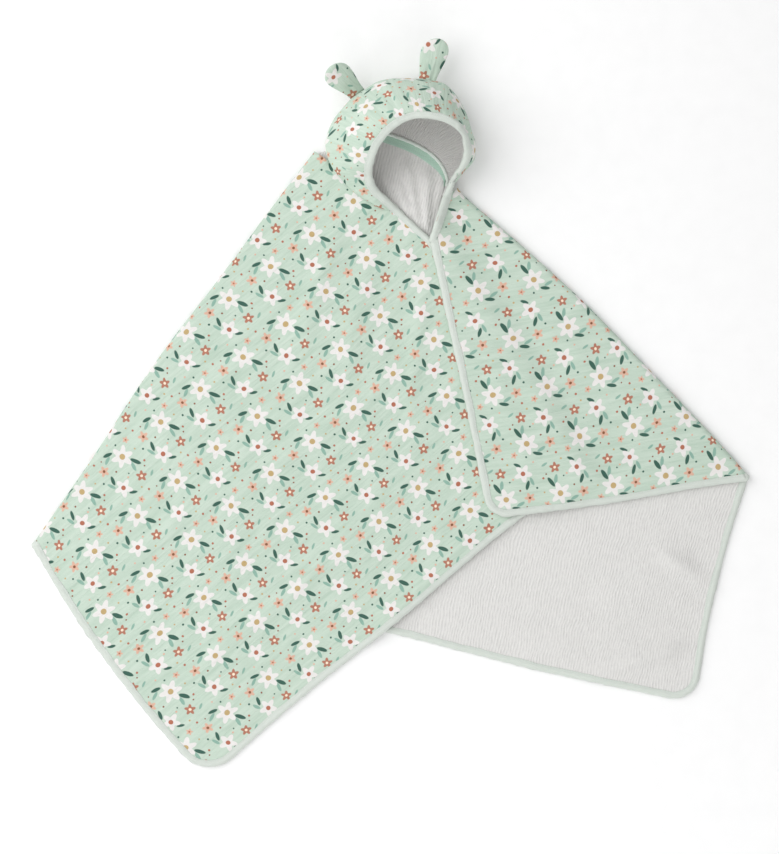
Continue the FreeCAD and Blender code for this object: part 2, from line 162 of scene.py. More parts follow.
def spline(points, samples):
    """A smooth line through points along the first axis."""
    points = np.asarray(points, float)
    steps = np.linalg.norm(np.diff(points, axis=0), axis=-1)
    if steps.ndim > 1:
        steps = steps.mean(axis=tuple(range(1, steps.ndim)))
    knots = np.concatenate(([0], np.cumsum(steps + 1e-6)))
    slopes = np.gradient(points, knots, axis=0)
    at = np.linspace(0, knots[-1], samples)
    left = np.clip(np.searchsorted(knots, at, side="right") - 1, 0, len(knots) - 2)
    span = knots[left + 1] - knots[left]
    shape = (-1,) + (1,) * (points.ndim - 1)
    t = ((at - knots[left]) / span).reshape(shape)
    span = span.reshape(shape)
    return (
        (2 * t ** 3 - 3 * t ** 2 + 1) * points[left]
        + (t ** 3 - 2 * t ** 2 + t) * span * slopes[left]
        + (3 * t ** 2 - 2 * t ** 3) * points[left + 1]
        + (t ** 3 - t ** 2) * span * slopes[left + 1]
    )


def from_hood(points):
    """Points of the hood's frame (x along the neck, y to the crown) in the row frame."""
    points = np.asarray(points, float)
    height = points[..., 2:3] if points.shape[-1] > 2 else np.zeros(points.shape[:-1] + (1,))
    return HOOD + points[..., 0:1] * HOOD_X + points[..., 1:2] * HOOD_Y + height * (0, 0, 1)


# ---------------------------------------------------------------- meshes

def open_edges(faces):
    """The directed edges that only one face uses."""
    edges = {(a, b) for face in faces for a, b in zip(face, face[1:] + face[:1])}
    return [(a, b) for a, b in edges if (b, a) not in edges]


def shell(upper, lower, faces):
    """A closed sheet between two nets of points that share their faces."""
    count = len(upper)
    closed = [list(face) for face in faces]
    closed += [[corner + count for corner in reversed(face)] for face in faces]
    closed += [[b, a, a + count, b + count] for a, b in sorted(open_edges(faces))]
    return np.vstack((upper, lower)), closed


def grid_faces(rows, columns, wrap=False):
    """Quads of a net of rows by columns. With wrap, the last column meets the first."""
    last = columns if wrap else columns - 1
    return [
        [row * columns + column, row * columns + (column + 1) % columns,
         (row + 1) * columns + (column + 1) % columns, (row + 1) * columns + column]
        for row in range(rows - 1) for column in range(last)
    ]


def add_object(name, data):
    made = bpy.data.objects.new(name, data)
    bpy.context.scene.collection.objects.link(made)
    return made


def make_piece(name, points, faces, material, cloth=None):
    """A smooth mesh object. cloth holds each point's place on the flat cloth, in millimetres."""
    mesh = bpy.data.meshes.new(name)
    mesh.from_pydata((points * MM).tolist(), [], faces)
    mesh.polygons.foreach_set("use_smooth", [True] * len(mesh.polygons))
    if cloth is not None:
        flat = np.zeros((len(points), 3), np.float32)
        flat[:, :cloth.shape[1]] = cloth
        attribute = mesh.attributes.new("cloth", "FLOAT_VECTOR", "POINT")
        attribute.data.foreach_set("vector", flat.ravel())
    mesh.materials.append(material)
    mesh.update()
    return add_object(name, mesh)


def fill_outline(outline, net, dense=None):
    """Triangles over a flat outline: a net of even triangles inside it, denser where asked."""
    low, high = outline.min(axis=0), outline.max(axis=0)
    inside = hexagon_net(low, high, net)
    if dense is not None:
        fine = hexagon_net(low, high, net / 2)
        inside = np.vstack((inside[~dense(inside)], fine[dense(fine)]))
    inside = inside[inside_outline(inside, outline)]
    near = np.array([((outline - point) ** 2).sum(axis=1).min() for point in inside])
    inside = inside[near > (0.5 * net) ** 2]
    flat = np.vstack((outline, inside))
    edge = list(range(len(outline)))
    corners, _, faces, *_ = delaunay_2d_cdt([Vector(p) for p in flat], [], [edge], 1, 1e-4)
    return np.array([tuple(corner) for corner in corners]), [list(face) for face in faces]


def hexagon_net(low, high, net):
    rows = np.arange(low[1], high[1], net * math.sqrt(0.75))
    columns = np.arange(low[0], high[0], net)
    x, y = np.meshgrid(columns, rows)
    x = x + (np.arange(len(rows)) % 2)[:, None] * net / 2
    return np.column_stack((x.ravel(), y.ravel()))


def inside_outline(points, outline):
    x, y = points.T
    crossings = np.zeros(len(points), int)
    for (ax, ay), (bx, by) in zip(outline, np.roll(outline, -1, axis=0)):
        if ay != by:
            at = ax + (y - ay) * (bx - ax) / (by - ay)
            crossings += ((ay > y) != (by > y)) & (x < at)
    return crossings % 2 == 1


def rounded_path(corners, radii, closed=True, step=EDGE_STEP):
    """Even points along straight runs, with each corner rounded by its own radius."""
    corners = [np.asarray(corner, float) for corner in corners]
    count = len(corners)
    pieces = []
    for i, (corner, radius) in enumerate(zip(corners, radii)):
        if radius == 0 or (not closed and i in (0, count - 1)):
            pieces.append(corner[None])
            continue
        before = unit(corners[i - 1] - corner)
        after = unit(corners[(i + 1) % count] - corner)
        half = math.acos(float(np.clip(before @ after, -1, 1))) / 2
        reach = radius / math.tan(half)
        first, last = corner + before * reach, corner + after * reach
        middle = corner + unit(before + after) * radius / math.sin(half)
        steps = max(3, int(radius * (math.pi - 2 * half) / step) + 2)
        shares = np.linspace(0, 1, steps)[:, None]
        arc = unit((first - middle) * (1 - shares) + (last - middle) * shares)
        pieces.append(middle + arc * radius)
    path = []
    for i, piece in enumerate(pieces):
        path.extend(piece)
        if i + 1 < count or closed:
            start, end = piece[-1], pieces[(i + 1) % count][0]
            cuts = int(np.linalg.norm(end - start) / step)
            path.extend(start + (end - start) * k / (cuts + 1) for k in range(1, cuts + 1))
    return np.array(path)


def tube_faces(count, ring):
    """Faces of a closed tube through a count of rings, with ring points in each."""
    ends = [list(reversed(range(ring))), list(range((count - 1) * ring, count * ring))]
    return grid_faces(count, ring, wrap=True) + ends


def path_lengths(points):
    steps = np.linalg.norm(np.diff(points, axis=0), axis=1)
    return np.concatenate(([0], np.cumsum(steps)))


def at_lengths(where, lengths, values):
    """The values of a path, read at other distances along it."""
    columns = values.reshape(len(values), -1).T
    read = np.column_stack([np.interp(where, lengths, column) for column in columns])
    return read.reshape(-1, *values.shape[1:])


# ---------------------------------------------------------------- materials

class Ink:
    """Adds nodes to a material, one short call each. A value may be a number or a socket."""

    def __init__(self, name):
        self.material = bpy.data.materials.new(name)
        self.material.use_nodes = True
        self.tree = self.material.node_tree
        self.surface = self.tree.nodes["Principled BSDF"]

    def set(self, socket, value):
        if isinstance(value, bpy.types.NodeSocket):
            self.tree.links.new(value, socket)
        elif value is not None:
            socket.default_value = value

    def set_all(self, node, **values):
        for name, value in values.items():
            self.set(node.inputs[name], value)

    def node(self, kind, values=(), **settings):
        node = self.tree.nodes.new(kind)
        for name, setting in settings.items():
            setattr(node, name, setting)
        for socket, value in zip(node.inputs, values):
            self.set(socket, value)
        return node

    def math(self, operation, *values, clamp=False):
        node = self.node("ShaderNodeMath", values, operation=operation, use_clamp=clamp)
        return node.outputs[0]

    def vector(self, operation, *values):
        node = self.node("ShaderNodeVectorMath", values, operation=operation)
        scalar = operation in ("DISTANCE", "LENGTH", "DOT_PRODUCT")
        return node.outputs["Value" if scalar else "Vector"]

    def split(self, vector):
        return self.node("ShaderNodeSeparateXYZ", [vector]).outputs

    def join(self, x, y, z=0.0):
        return self.node("ShaderNodeCombineXYZ", [x, y, z]).outputs[0]

    def mix(self, share, under, over):
        node = self.node("ShaderNodeMix", data_type="RGBA")
        self.set(node.inputs["Factor"], share)
        for socket, value in (("A", under), ("B", over)):
            colour = [s for s in node.inputs if s.name == socket and s.type == "RGBA"][0]
            self.set(colour, (*value, 1) if isinstance(value, tuple) else value)
        return [s for s in node.outputs if s.type == "RGBA"][0]

    def noise(self, vector, scale, detail=2.0, roughness=0.5, output="Fac"):
        node = self.node("ShaderNodeTexNoise")
        self.set_all(node, Vector=vector, Scale=scale, Detail=detail, Roughness=roughness)
        return node.outputs[output]

    def cloth(self):
        """The place on the flat cloth, in millimetres."""
        return self.node("ShaderNodeAttribute", attribute_name="cloth").outputs["Vector"]

    def stretched(self, vector, x, y, z=1.0):
        return self.vector("MULTIPLY", vector, (x, y, z))

    def moved(self, vector, x, y, turn=0.0, width=1.0, height=1.0):
        """The same place seen from a shape's own middle, turn and half sizes."""
        node = self.node("ShaderNodeMapping", vector_type="TEXTURE")
        self.set_all(
            node, Vector=vector, Location=(x, y, 0), Rotation=(0, 0, math.radians(turn)),
            Scale=(width, height, 1))
        return node.outputs[0]

    # Shapes give a distance to their edge in millimetres, negative inside.

    def circle(self, place, x, y, radius):
        return self.math("SUBTRACT", self.vector("DISTANCE", place, (x, y, 0)), radius)

    def ellipse(self, place, x, y, width, height, turn=0.0):
        reach = self.vector("LENGTH", self.moved(place, x, y, turn, width, height))
        return self.math("MULTIPLY", self.math("SUBTRACT", reach, 1.0), min(width, height))

    def flower(self, place, x, y, radius, petals=5, turn=0.0):
        local = self.moved(place, x, y, turn)
        sides = self.split(local)
        angle = self.math("ARCTAN2", sides[1], sides[0])
        wave = self.math("COSINE", self.math("MULTIPLY", angle, float(petals)))
        edge = self.math("MULTIPLY_ADD", wave, radius * 0.24, radius * 0.8)
        return self.math("SUBTRACT", self.vector("LENGTH", local), edge)

    def paint(self, under, distance, colour, strength=1.0, softness=0.5):
        """Lay a colour inside a shape, with a soft edge."""
        share = self.math("MULTIPLY_ADD", distance, -1 / softness, 0.5, clamp=True)
        return self.mix(self.math("MULTIPLY", share, strength), under, colour)

    def finish(self, colour, height, depth, roughness=0.9, sheen=0.3, tint=(1, 1, 1)):
        """Connect colour and bump. height is from 0 to 1 and depth is in millimetres."""
        bump = self.node("ShaderNodeBump")
        self.set_all(bump, Height=height, Distance=depth * MM, Strength=1.0)
        self.set_all(self.surface, **{
            "Normal": bump.outputs[0], "Base Color": colour, "Roughness": roughness,
            "Specular IOR Level": 0.25, "Sheen Weight": sheen, "Sheen Roughness": 0.5,
            "Sheen Tint": (*tint, 1),
        })
        return self.material


def colour(text):
    """A linear colour from the usual six hexadecimal digits."""
    parts = [int(text[i:i + 2], 16) / 255 for i in (0, 2, 4)]
    return tuple(p / 12.92 if p <= 0.04045 else ((p + 0.055) / 1.055) ** 2.4 for p in parts)


MINT = colour("cedccf")
# The darker mint is painted shade, laid in the low parts of the muslin's crinkles.
MINT_IN_PAINTED_SHADE = colour("b9cebd")
WHITE = colour("ebe7e5")
DARK_GREEN = colour("3f6357")
SAGE = colour("8fb3a4")
TERRACOTTA = colour("b3705a")
PEACH = colour("deb09a")
CREAM = colour("f6e6cf")
GOLD = colour("c2a878")
BROWN = colour("8a5a41")

REPEAT = 66.0


def print_cell(ink, cloth):
    """The place inside the print's repeat, from its middle. Every second column is half lower."""
    x, y, _ = ink.split(cloth)
    column = ink.math("FLOOR", ink.math("DIVIDE", x, REPEAT))
    odd = ink.math("FLOORED_MODULO", column, 2.0)
    dropped = ink.math("MULTIPLY_ADD", odd, REPEAT / 2, y)
    local_x = ink.math("SUBTRACT", ink.math("FLOORED_MODULO", x, REPEAT), REPEAT / 2)
    local_y = ink.math("SUBTRACT", ink.math("FLOORED_MODULO", dropped, REPEAT), REPEAT / 2)
    return ink.join(local_x, local_y)


def draw_leaves(ink, ground, place):
    """Plain leaves in pairs beside the bigger flowers."""
    painted = ground
    for x, y, length, turn, shade in (
        (2, 19, 7.0, 30, DARK_GREEN), (5, 13, 6.0, -10, SAGE), (-26, -2, 6.0, 75, DARK_GREEN),
        (-21, -7, 5.5, 115, SAGE), (2, -18, 6.0, 160, DARK_GREEN), (6, -24, 5.5, 200, SAGE),
        (28, -8, 5.0, 60, DARK_GREEN), (25, 25, 4.0, 120, SAGE),
    ):
        painted = ink.paint(painted, ink.ellipse(place, x, y, length, length * 0.36, turn), shade)
    return painted


def draw_flowers(ink, ground, place):
    """Plain flowers in a few sizes, each with a heart."""
    painted = ground
    for x, y, radius, petals, turn, shade, heart in (
        (-13, 10, 13.5, 6, 10, WHITE, GOLD), (17, -14, 11.0, 5, 40, WHITE, TERRACOTTA),
        (20, 13, 6.5, 5, 0, TERRACOTTA, CREAM), (-14, -19, 6.5, 5, 20, PEACH, BROWN),
        (-25, 27, 4.0, 5, 50, PEACH, TERRACOTTA),
    ):
        painted = ink.paint(
            painted, ink.flower(place, x, y, radius, petals, turn), shade, 0.94, softness=1.0)
        painted = ink.paint(painted, ink.circle(place, x, y, radius * 0.26), heart)
    return painted


def draw_dots(ink, ground, place):
    """Small seeds between the flowers."""
    painted = ground
    for x, y, radius, shade in (
        (-29, 13, 1.2, DARK_GREEN), (8, 28, 1.4, TERRACOTTA), (13, 24, 1.0, BROWN),
        (30, 4, 1.2, GOLD), (-4, -8, 1.2, BROWN), (-3, -29, 1.3, DARK_GREEN),
        (-28, -24, 1.4, TERRACOTTA), (30, -28, 1.1, PEACH), (8, 3, 1.0, DARK_GREEN),
        (-10, 29, 1.1, GOLD), (11, -1, 1.2, PEACH), (-25, -14, 0.9, BROWN),
    ):
        painted = ink.paint(painted, ink.circle(place, x, y, radius), shade)
    return painted


def muslin_crinkle(ink, cloth):
    """Fine lengthwise crinkles of double gauze, from 0 to 1."""
    fine = ink.noise(ink.stretched(cloth, 0.30, 0.022), 1.0, 3.0, 0.55)
    broad = ink.noise(ink.stretched(cloth, 0.09, 0.016), 1.0, 2.0)
    return ink.math("MULTIPLY_ADD", broad, 0.45, ink.math("MULTIPLY", fine, 0.55))


def weave(ink, cloth, pitch):
    """A plain weave: threads over and under, from 0 to 1."""
    x, y, _ = ink.split(cloth)
    number = math.pi / pitch
    warp = ink.math("SINE", ink.math("MULTIPLY", x, number))
    weft = ink.math("SINE", ink.math("MULTIPLY", y, number))
    product = ink.math("MULTIPLY", warp, weft)
    return ink.math("MULTIPLY_ADD", product, 0.5, 0.5)


def printed_muslin():
    ink = Ink("printed_muslin")
    cloth = ink.cloth()
    crinkle = muslin_crinkle(ink, cloth)
    wobble = ink.noise(ink.stretched(cloth, 0.05, 0.05), 1.0, output="Color")
    shift = ink.stretched(ink.vector("SUBTRACT", wobble, (0.5, 0.5, 0.5)), 2.5, 2.5, 0.0)
    place = print_cell(ink, ink.vector("ADD", cloth, shift))
    # The ground is darker where the crinkle is low: painted shade in the crinkles' hollows.
    ground = ink.mix(ink.math("MULTIPLY_ADD", crinkle, 2.2, -0.6, clamp=True), MINT_IN_PAINTED_SHADE, MINT)
    painted = draw_leaves(ink, ground, place)
    painted = draw_flowers(ink, painted, place)
    painted = draw_dots(ink, painted, place)
    # Print and ground are mixed towards dark green where the crinkle is low: painted shade in the
    # crinkles' hollows.
    crinkle_lit_share = ink.math("MULTIPLY_ADD", crinkle, 1.6, 0.1, clamp=True)
    painted = ink.mix(crinkle_lit_share, ink.mix(0.14, painted, DARK_GREEN), painted)
    threads = weave(ink, cloth, 0.9)
    height = ink.math("MULTIPLY_ADD", threads, 0.08, crinkle)
    return ink.finish(painted, height, 2.6, roughness=0.92, sheen=0.15, tint=MINT)


def terry_lining():
    """Soft ribbed terry: short loops standing in broken rows."""
    ink = Ink("terry_lining")
    cloth = ink.cloth()
    x = ink.split(cloth)[0]
    drift = ink.math("MULTIPLY", ink.noise(ink.stretched(cloth, 0.03, 0.03), 1.0), 9.0)
    rows = ink.math("SINE", ink.math("MULTIPLY", ink.math("ADD", x, drift), 2 * math.pi / 3.6))
    rows = ink.math("MULTIPLY_ADD", rows, 0.5, 0.5)
    dashes = ink.noise(ink.stretched(cloth, 0.42, 0.13), 1.0, 3.0, 0.6)
    loops = ink.noise(ink.stretched(cloth, 1.5, 1.1), 1.0, 2.0, 0.7)
    height = ink.math("MULTIPLY_ADD", rows, 0.3, ink.math("MULTIPLY", dashes, 0.9))
    height = ink.math("MULTIPLY_ADD", loops, 0.35, height)
    # The colour is darker where the loops stand low: painted shade between the loops.
    shade = ink.math("MULTIPLY_ADD", height, 1.2, -0.4, clamp=True)
    painted = ink.mix(shade, colour("d0cfcd"), colour("e8e7e4"))
    return ink.finish(painted, height, 1.2, roughness=0.96, sheen=0.5)


def tape_material(name, light, dark, pitch=1.1):
    """Cotton tape with a fine weave that runs along it."""
    ink = Ink(name)
    cloth = ink.cloth()
    threads = weave(ink, cloth, pitch)
    slubs = ink.noise(ink.stretched(cloth, 0.12, 0.8), 1.0, 3.0)
    puckers = ink.noise(ink.stretched(cloth, 0.16, 0.03), 1.0, 2.0)
    height = ink.math("MULTIPLY_ADD", threads, 0.25, ink.math("MULTIPLY", puckers, 0.9))
    # The tone changes at random with the slubs, which is the tape's own; it is also darker in the
    # dips of the weave, which is painted shade.
    shade = ink.math("MULTIPLY_ADD", slubs, 0.8, ink.math("MULTIPLY", threads, 0.3), clamp=True)
    painted = ink.mix(shade, dark, light)
    return ink.finish(painted, height, 0.8, roughness=0.85, sheen=0.3)


def thread_material():
    ink = Ink("stitching_thread")
    place = ink.node("ShaderNodeTexCoord").outputs["Object"]
    twist = ink.noise(ink.vector("SCALE", place), 2500.0, 2.0)
    # The thread is darker where its twist is low: painted shade in the twist's grooves.
    painted = ink.mix(twist, colour("c3d2c8"), colour("e9efea"))
    return ink.finish(painted, twist, 0.1, roughness=0.7, sheen=0.2)


def label_material():
    """Blank satin, with fine ribs."""
    ink = Ink("satin_label")
    cloth = ink.cloth()
    threads = weave(ink, cloth, 0.5)
    # The satin is darker between its ribs: painted shade.
    painted = ink.mix(threads, colour("eceae4"), colour("faf9f5"))
    return ink.finish(painted, threads, 0.05, roughness=0.35, sheen=0.1)


MUSLIN = printed_muslin()
TERRY = terry_lining()
BINDING = tape_material("binding_tape", colour("d9dfd8"), colour("c4ccc4"))
NECK_TAPE = tape_material("neck_tape", colour("bcd8c8"), colour("a2c3b1"), 1.6)
PIPING = tape_material("neck_piping", colour("e9efe9"), colour("cfdbd2"), 0.8)
THREAD = thread_material()
LABEL = label_material()


# ---------------------------------------------------------------- layers of the towel

BACK_CORNERS = np.array((LEFT_FOLD, BACK_CORNER, RIGHT_FOLD, RIGHT_SHOULDER, LEFT_SHOULDER))
LEFT_CORNERS = np.array((LEFT_SHOULDER, LEFT_FOLD, LEFT_CORNER, HIDDEN_CORNER, FRONT))

# How far the middle of each edge bows out of its straight line.
BOWS = (
    (LEFT_SHOULDER, LEFT_FOLD, 6.0),
    (LEFT_FOLD, LEFT_CORNER, 12.0),
    (LEFT_CORNER, HIDDEN_CORNER, -4.0),
    (LEFT_FOLD, BACK_CORNER, 1.0),
    (BACK_CORNER, RIGHT_FOLD, -8.0),
    (RIGHT_FOLD, RIGHT_SHOULDER, 13.0),
    (RIGHT_CORNER, RIGHT_FOLD, 3.0),
)
BOW_REACH = 80.0
COLLAR_HEIGHT = 16.0
COLLAR_WIDTH = 10.0
COLLAR_NET_REACH = 24.0


def sway(xy):
    """Sideways drift, because no edge of soft cloth lies quite straight."""
    x, y = xy.T
    rest = ease(np.linalg.norm(xy - FRONT, axis=1), 60, 200) * ease(-y, -250, -100)
    drift = 1.6 * rest[:, None] * np.column_stack((ripple(x, y, 320, 11), ripple(x, y, 320, 12)))
    for start, end, amount in BOWS:
        along, across = along_and_across(xy, start, end)
        bulge = amount * 4 * np.clip(along * (1 - along), 0, 1) * np.exp(-(across / BOW_REACH) ** 2)
        run = unit(np.subtract(end, start))
        drift += bulge[:, None] * np.array((run[1], -run[0]))
    return drift


# Creases of each layer: where one starts and ends, its height and its width.
BACK_CREASES = (
    ((225, -352), (392, -300), 7.0, 11), ((150, -318), (330, -268), 3.2, 15),
    ((330, -180), (425, -235), 4.0, 11), ((250, -240), (392, -196), 2.6, 17),
)
LEFT_CREASES = (
    ((-160, -420), (30, -285), 2.6, 10), ((-250, -330), (-60, -190), 2.2, 12),
    ((-40, -300), (120, -160), 2.4, 11), ((-330, -200), (-150, -60), 1.8, 14),
    ((-120, 60), (-60, 240), 2.2, 12), ((-60, 40), (-22, 200), 1.6, 12),
    ((20, -40), (44, 170), 1.6, 10), ((-200, -120), (40, 60), 1.4, 14),
)
RIGHT_CREASES = (
    ((150, 120), (330, -30), 1.8, 12), ((110, 100), (170, -80), 1.6, 12),
    ((220, -80), (400, -90), 1.8, 12),
)


def back_bottom(xy):
    """Height of the towel's back above the ground."""
    x, y = xy.T
    soft = 0.7 * (1 + ripple(x, y, 160, 21)) + 0.3 * (1 + ripple(x, y, 45, 22))
    soft = np.maximum(soft, 0)
    rise = sum(crease(xy, *line) for line in BACK_CREASES)
    edge = ease(-outside(xy, BACK_CORNERS), 4, 45)
    return FLOOR_GAP + (soft * 0.8 + rise) * (0.35 + 0.65 * edge) + neck_creases(xy)


def neck_creases(xy):
    """Folds that run up from the front corner to the neck seam, inside the hood."""
    rel = np.column_stack((xy, np.zeros(len(xy)))) - HOOD
    x, y = rel @ HOOD_X, rel @ HOOD_Y
    window = ease(y, -72, -35) * ease(-y, -30, -10) * ease(x, -12, 22) * ease(-x, -84, -64)
    window = window * ease(along_and_across(xy, LEFT_NECK, FRONT)[1], 1, 9)
    window = window * ease(along_and_across(xy, FRONT, RIGHT_NECK)[1], 1, 7)
    angle = np.degrees(np.arctan2(x - 80, y + 90))
    folds = 0.5 + 0.5 * np.sin(angle * 0.6 + 0.9 * np.sin(angle * 0.17))
    return window * (1.0 + 6.0 * folds ** 1.5)


def left_top(xy):
    """Height of the upper face of the left layer, which lies on the back or beside it."""
    x, y = xy.T
    over_back = 1 - ease(outside(xy, BACK_CORNERS), 2, 30)
    under = over_back * (back_bottom(xy) + SHEET + LAYER_GAP) + (1 - over_back) * 0.9
    soft = 0.5 * (1 + ripple(x, y, 150, 31)) + 0.35 * (1 + ripple(x, y, 42, 32, 2.26, 0.8))
    rise = sum(crease(xy, *line) for line in LEFT_CREASES)
    return under + SHEET + np.maximum(soft, 0) * 0.8 + rise * 1.5


def right_top(xy):
    """Height of the upper face of the right layer, over the left layer or the back."""
    x, y = xy.T
    over_left = 1 - ease(outside(xy, LEFT_CORNERS), 4, 40)
    on_left = left_top(xy) + LAYER_GAP
    on_back = back_bottom(xy) + SHEET + LAYER_GAP
    under = over_left * on_left + (1 - over_left) * on_back
    soft = 0.5 * (1 + ripple(x, y, 120, 41)) + 0.35 * (1 + ripple(x, y, 42, 42, 1.6, 0.8))
    rise = sum(crease(xy, *line) for line in RIGHT_CREASES)
    return under + SHEET + np.maximum(soft, 0) * 0.7 + rise * 0.8 + collar_rise(xy)


def collar_rise(xy):
    """The right front edge stands up like a collar between the front and the hood."""
    along, across = along_and_across(xy, RIGHT_NECK, FRONT)
    window = ease(-along, -1.02, -0.6)
    return COLLAR_HEIGHT * window * np.exp(-np.abs(across) / COLLAR_WIDTH)


def fold_frame(start, end):
    """A point on a shoulder fold, and the way out of the towel there."""
    run = unit(end - start)
    return start, np.array((run[1], -run[0]))


FOLDS = {
    "left": fold_frame(LEFT_SHOULDER, LEFT_FOLD),
    "right": fold_frame(RIGHT_FOLD, RIGHT_SHOULDER),
}
TOPS = {"left": left_top, "right": right_top}


def place_folded(side, xy, depth):
    """Points of a layer that is folded over, at a depth below its printed face."""
    start, out = FOLDS[side]
    far = np.maximum((xy - start) @ out, 0)
    foot = xy - far[:, None] * out
    turn = np.minimum(far / ROLL_STRIP, 1) * math.pi
    top = TOPS[side](foot)
    bottom = back_bottom(foot)
    radius = (top - bottom) / 2
    reach = (radius - depth) * np.sin(turn)
    flat = foot + sway(foot) + reach[:, None] * out
    height = np.where(far > 0, (top + bottom) / 2 + (radius - depth) * np.cos(turn), top - depth)
    return np.column_stack((flat, height))


def place_back(xy, depth):
    """Points of the back, at a height above its printed face, which is its lower one."""
    return np.column_stack((xy + sway(xy), back_bottom(xy) + depth))


def place_left(xy, depth):
    return place_folded("left", xy, depth)


def place_right(xy, depth):
    return place_folded("right", xy, depth)


def flat_place(xy, origin, turn):
    """The place on the flat cloth, with the print's own up at an angle from +X."""
    rel = xy - origin
    right = rel @ (math.sin(turn), -math.cos(turn))
    up = rel @ (math.cos(turn), math.sin(turn))
    return np.column_stack((right, up))


def two_cloths(names, at_depth, faces, cloth, face_down=False):
    """A printed cloth and its lining, as two closed sheets between depths below the print."""
    pieces = []
    for name, material, depths in zip(names, (MUSLIN, TERRY), ((0.0, OUTER), (LINING_TOP, SHEET))):
        upper, lower = (at_depth(depth) for depth in depths)
        if face_down:
            upper, lower = lower, upper
        points, closed = shell(upper, lower, faces)
        pieces.append(make_piece(name, points, closed, material, np.vstack((cloth, cloth))))
    return pieces


def towel_layer(names, outline, place, origin, turn, dense=None):
    """Both cloths of one layer, filled over its outline."""
    flat, faces = fill_outline(outline, NET, dense)
    return two_cloths(
        names, lambda depth: place(flat, depth), faces, flat_place(flat, origin, turn),
        face_down=place is place_back)


STRIP_STEPS = np.arange(0.0, 13.0, 2.0)
TOP_GROOVE = 2
LOW_GROOVE = 12
STITCH_PITCH = 3.6
STITCH_LENGTH = 2.5
STITCH_RADIUS = 0.32
# Each ring's share of a stitch's length, its share of the thread's radius, and its lift.
STITCH_RINGS = ((0.0, 0.45, -0.1), (0.25, 1.0, 0.18), (0.75, 1.0, 0.18), (1.0, 0.45, -0.1))


def ripple_along(lengths, wavelength, seed):
    return ripple(lengths, 0 * lengths, wavelength, seed)


def binding_sections(x, reach, under, seed, half):
    """The tape's folded section along its path: two legs and a rounded nose, with puckers."""
    puff = 1 + 0.22 * ripple_along(x, 17, seed) + 0.10 * ripple_along(x, 7, seed + 1)
    reach = reach + 0.5 * ripple_along(x, 60, seed + 2) + 0.25 * ripple_along(x, 13, seed + 3)
    profile = ((1.0, 0.15), (0.93, 0.75), (0.80, 0.28), (0.66, 0.85), (0.35, 1.1), (0.05, 0.95))
    top = [(reach * a, half + b * puff) for a, b in profile]
    nose = [(-1.2, half * 0.75), (-1.9 * puff, 0.0), (-1.2, -half * 0.75)]
    bottom = [(reach * a, -half - b * puff * under) for a, b in reversed(profile)]
    inner = [(reach * 0.98, -half + 0.35), (0.4, -half + 0.35), (-0.4, 0.0), (0.4, half - 0.35),
             (reach * 0.98, half - 0.35)]
    section = top + nose + bottom + inner
    return np.stack([np.column_stack((a + 0 * x, b + 0 * x)) for a, b in section], axis=1)


def strips_along(path, place):
    """Strips of cloth beside an edge that has the cloth on its left, one per point."""
    run = unit(np.gradient(path, axis=0))
    inward = np.column_stack((-run[:, 1], run[:, 0]))
    steps = [place(path + inward * distance, SHEET / 2) for distance in STRIP_STEPS]
    return np.stack(steps, axis=1)


def on_strips(strips, ups, across, raised):
    """Points at distances across each strip, raised above it. Below 0, they lie off its edge."""
    spacing = STRIP_STEPS[1]
    at = np.clip(across / spacing, 0, len(STRIP_STEPS) - 1.001)
    low = at.astype(int)
    share = (at - low)[..., None]
    row = np.arange(len(strips))[:, None]
    points = strips[row, low] * (1 - share) + strips[row, low + 1] * share
    up = unit(ups[row, low] * (1 - share) + ups[row, low + 1] * share)
    off_edge = unit(strips[:, 1] - strips[:, 0])[:, None] * np.minimum(across, 0)[..., None]
    return points + off_edge + up * raised[..., None]


def tape_place(lengths, around):
    """The place on the flat tape of a tube's points, ring by ring."""
    return np.column_stack((np.repeat(lengths, len(around)), np.tile(around, len(lengths))))


def bind_edge(name, strips, seed, reach=BINDING_REACH, under=1.0, half=SHEET / 2):
    """Binding tape round an edge of the cloth, and its row of stitches on each face."""
    ups = unit(np.cross(np.gradient(strips, axis=0), np.gradient(strips, axis=1)))
    lengths = path_lengths(strips[:, 0])
    sections = binding_sections(lengths, reach, under, seed, half)
    rings = on_strips(strips, ups, sections[..., 0], sections[..., 1])
    rings[..., 2] = np.maximum(rings[..., 2], FLOOR_GAP / 4)
    cloth = tape_place(lengths, path_lengths(sections[0]))
    tape = make_piece(name, rings.reshape(-1, 3), tube_faces(*rings.shape[:2]), BINDING, cloth)
    rows = [(rings[:, TOP_GROOVE], ups[:, 1])]
    if under > 0.5:
        rows.append((rings[:, LOW_GROOVE], -ups[:, 1]))
    return [tape, make_stitches(f"{name}_stitches", rows)]


def make_stitches(name, rows):
    """Short rounded stitches along rows of points, each row with its own ups."""
    around = np.radians((45, 135, 225, 315))
    nets = []
    for row, row_ups in rows:
        lengths = path_lengths(row)
        middles = np.arange(STITCH_PITCH, lengths[-1] - STITCH_PITCH, STITCH_PITCH)
        start = at_lengths(middles - STITCH_LENGTH / 2, lengths, row)
        run = at_lengths(middles + STITCH_LENGTH / 2, lengths, row) - start
        up = unit(at_lengths(middles, lengths, row_ups))
        side = unit(np.cross(up, run))
        net = [
            start + run * share + side * STITCH_RADIUS * size * math.cos(angle)
            + up * (STITCH_RADIUS * size * math.sin(angle) + lift)
            for share, size, lift in STITCH_RINGS for angle in around
        ]
        nets.append(np.stack(net, axis=1))
    points = np.concatenate(nets)
    stitch = tube_faces(len(STITCH_RINGS), len(around))
    faces = [
        [corner + points.shape[1] * number for corner in face]
        for number in range(len(points)) for face in stitch
    ]
    return make_piece(name, points.reshape(-1, 3), faces, THREAD)


LAYER_SLOTS = ("printed_muslin", "terry_lining", "binding", "binding")


